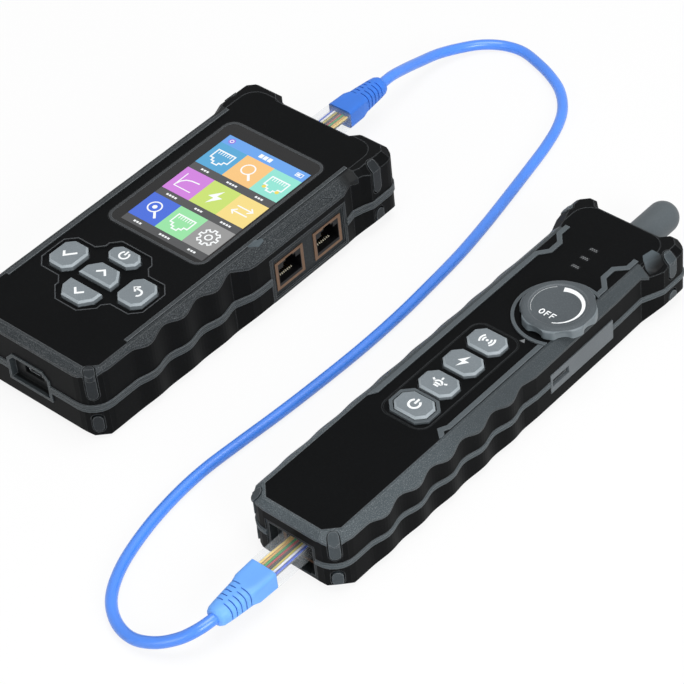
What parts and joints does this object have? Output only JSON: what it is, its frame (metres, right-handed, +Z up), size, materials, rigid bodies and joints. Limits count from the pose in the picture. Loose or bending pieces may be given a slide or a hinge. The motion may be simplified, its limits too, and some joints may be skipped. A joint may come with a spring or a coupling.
{
  "type": "network cable tester",
  "caption": "Handheld network cable tester with colour screen and keypad, joined by a blue patch cord to a handheld tone receiver with a probe and dial.",
  "frame": {"origin": "centre of the two units' bounding box, without the cord and its plugs, on the surface they rest on", "axes": "+Z up, +Y from the foot of the units to their heads, +X from the tester to the receiver"},
  "size_m": [0.1946, 0.3319, 0.0346],
  "materials": {
    "bay_grey": "plain",
    "board_green": "plain",
    "cell_blue": "plain",
    "clear_plastic": "plain",
    "contact_gold": "plain",
    "copper": "plain",
    "cord_blue": "plain",
    "dial_grey": "plain",
    "foil_silver": "plain",
    "grip_rubber": "plain",
    "insert_grey": "plain",
    "jack_bronze": "plain",
    "key_grey": "plain",
    "lcd_glass": "plain",
    "lens_black": "plain",
    "panel_grey": "plain",
    "probe_grey": "plain",
    "screw_steel": "plain",
    "shell_black": "plain",
    "steel": "plain",
    "switch_black": "plain",
    "trim_grey": "plain",
    "wire_orange": "plain"
  },
  "bodies": {
    "cases_and_cord": {"tester_front_shell": "shell_black", "tester_chamfer_trim": "trim_grey", "tester_face_trims": "trim_grey", "tester_front_grip": "grip_rubber", "tester_seam_band": "trim_grey", "tester_rear_shell": "shell_black", "tester_rear_grip": "grip_rubber", "tester_corner_inserts": "insert_grey", "tester_port_bay": "bay_grey", "tester_side_jacks": "jack_bronze", "tester_head_jacks": "jack_bronze", "port_contacts": "contact_gold", "tester_screen_lens": "lens_black", "tester_lcd_panel": "lcd_glass", "tester_lcd_tray": "steel", "tester_main_board": "board_green", "tester_key_switches": "switch_black", "tester_battery": "foil_silver", "tester_buzzer": "switch_black", "tester_usb_c_port": "steel", "charge_boards": "board_green", "tester_case_screws": "screw_steel", "receiver_front_shell": "shell_black", "receiver_chamfer_trim": "trim_grey", "receiver_face_trims": "trim_grey", "receiver_front_grip": "grip_rubber", "receiver_seam_band": "trim_grey", "receiver_rear_shell": "shell_black", "receiver_rear_grip": "grip_rubber", "receiver_corner_inserts": "insert_grey", "receiver_side_panel": "panel_grey", "receiver_port_bay": "bay_grey", "receiver_jack": "jack_bronze", "receiver_potentiometer": "switch_black", "receiver_key_switches": "switch_black", "receiver_main_board": "board_green", "receiver_indicator_pipes": "clear_plastic", "receiver_probe_tip": "probe_grey", "receiver_probe_coil": "copper", "receiver_torch_lens": "clear_plastic", "receiver_speaker": "switch_black", "receiver_battery": "cell_blue", "receiver_usb_c_port": "steel", "receiver_case_screws": "screw_steel", "cord_jacket": "cord_blue", "cord_plugs": "clear_plastic", "plug_contacts": "contact_gold", "cord_wires": "wire_orange", "cord_boots": "cord_blue"},
    "ok_key": {"tester_key_ok": "key_grey"},
    "power_key": {"tester_key_power": "key_grey"},
    "up_key": {"tester_key_up": "key_grey"},
    "down_key": {"tester_key_down": "key_grey"},
    "back_key": {"tester_key_back": "key_grey"},
    "trace_key": {"receiver_key_trace": "key_grey"},
    "detect_key": {"receiver_key_detect": "key_grey"},
    "lamp_key": {"receiver_key_lamp": "key_grey"},
    "receiver_power_key": {"receiver_key_power": "key_grey"},
    "dial": {"receiver_dial": "dial_grey", "receiver_dial_shaft": "steel"}
  },
  "joints": [
    {"name": "ok_key_press", "type": "slide", "parent": "cases_and_cord", "child": "ok_key", "axis": [0, 0, -1], "range_m": [0, 0.0006], "stiffness_N_per_m": 900, "springref_m": -0.0006},
    {"name": "power_key_press", "type": "slide", "parent": "cases_and_cord", "child": "power_key", "axis": [0, 0, -1], "range_m": [0, 0.0006], "stiffness_N_per_m": 900, "springref_m": -0.0006},
    {"name": "up_key_press", "type": "slide", "parent": "cases_and_cord", "child": "up_key", "axis": [0, 0, -1], "range_m": [0, 0.0006], "stiffness_N_per_m": 900, "springref_m": -0.0006},
    {"name": "down_key_press", "type": "slide", "parent": "cases_and_cord", "child": "down_key", "axis": [0, 0, -1], "range_m": [0, 0.0006], "stiffness_N_per_m": 900, "springref_m": -0.0006},
    {"name": "back_key_press", "type": "slide", "parent": "cases_and_cord", "child": "back_key", "axis": [0, 0, -1], "range_m": [0, 0.0006], "stiffness_N_per_m": 900, "springref_m": -0.0006},
    {"name": "trace_key_press", "type": "slide", "parent": "cases_and_cord", "child": "trace_key", "axis": [0, 0, -1], "range_m": [0, 0.0006], "stiffness_N_per_m": 900, "springref_m": -0.0006},
    {"name": "detect_key_press", "type": "slide", "parent": "cases_and_cord", "child": "detect_key", "axis": [0, 0, -1], "range_m": [0, 0.0006], "stiffness_N_per_m": 900, "springref_m": -0.0006},
    {"name": "lamp_key_press", "type": "slide", "parent": "cases_and_cord", "child": "lamp_key", "axis": [0, 0, -1], "range_m": [0, 0.0006], "stiffness_N_per_m": 900, "springref_m": -0.0006},
    {"name": "receiver_power_key_press", "type": "slide", "parent": "cases_and_cord", "child": "receiver_power_key", "axis": [0, 0, -1], "range_m": [0, 0.0006], "stiffness_N_per_m": 900, "springref_m": -0.0006},
    {"name": "dial_turn", "type": "hinge", "parent": "cases_and_cord", "child": "dial", "pos_m": [0.08305, 0.0253, 0.029], "axis": [0, 0, -1], "range_deg": [0, 270]}
  ]
}
